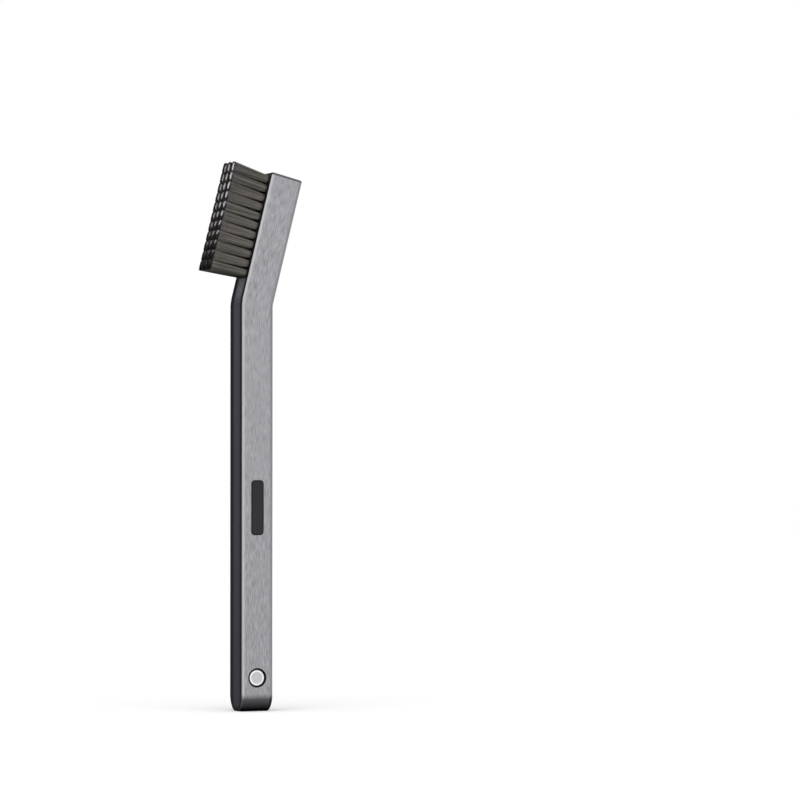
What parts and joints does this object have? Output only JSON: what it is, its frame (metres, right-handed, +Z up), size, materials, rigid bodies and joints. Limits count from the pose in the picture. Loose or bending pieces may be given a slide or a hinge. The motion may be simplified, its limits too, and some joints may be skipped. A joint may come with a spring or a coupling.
{
  "type": "circuit board cleaning brush",
  "caption": "Slim bent metal bar brush with short dense bristle tufts set in blind holes on one side of its head, a rounded foot and an inlaid plate.",
  "frame": {"origin": "middle of the flat foot, on the surface that the brush stands on", "axes": "+Z up along the handle, +X towards the side that the head leans to, so the bristles point to -X; the front face with the plate and the disc looks along -Y"},
  "size_m": [0.0301, 0.01, 0.166],
  "materials": {
    "handle_metal": "brushed satin",
    "bristle": "fine fibre",
    "plate": "satin",
    "ring": "satin",
    "disc": "satin"
  },
  "bodies": {
    "root": {"handle_bar": "handle_metal", "tuft_r01_c1": "bristle", "tuft_r01_c2": "bristle", "tuft_r01_c3": "bristle", "tuft_r02_c1": "bristle", "tuft_r02_c2": "bristle", "tuft_r02_c3": "bristle", "tuft_r03_c1": "bristle", "tuft_r03_c2": "bristle", "tuft_r03_c3": "bristle", "tuft_r04_c1": "bristle", "tuft_r04_c2": "bristle", "tuft_r04_c3": "bristle", "tuft_r05_c1": "bristle", "tuft_r05_c2": "bristle", "tuft_r05_c3": "bristle", "tuft_r06_c1": "bristle", "tuft_r06_c2": "bristle", "tuft_r06_c3": "bristle", "tuft_r07_c1": "bristle", "tuft_r07_c2": "bristle", "tuft_r07_c3": "bristle", "tuft_r08_c1": "bristle", "tuft_r08_c2": "bristle", "tuft_r08_c3": "bristle", "tuft_r09_c1": "bristle", "tuft_r09_c2": "bristle", "tuft_r09_c3": "bristle", "tuft_r10_c1": "bristle", "tuft_r10_c2": "bristle", "tuft_r10_c3": "bristle", "tuft_r11_c1": "bristle", "tuft_r11_c2": "bristle", "tuft_r11_c3": "bristle", "badge_plate": "plate", "marker_ring": "ring", "marker_disc": "disc"}
  },
  "joints": []
}
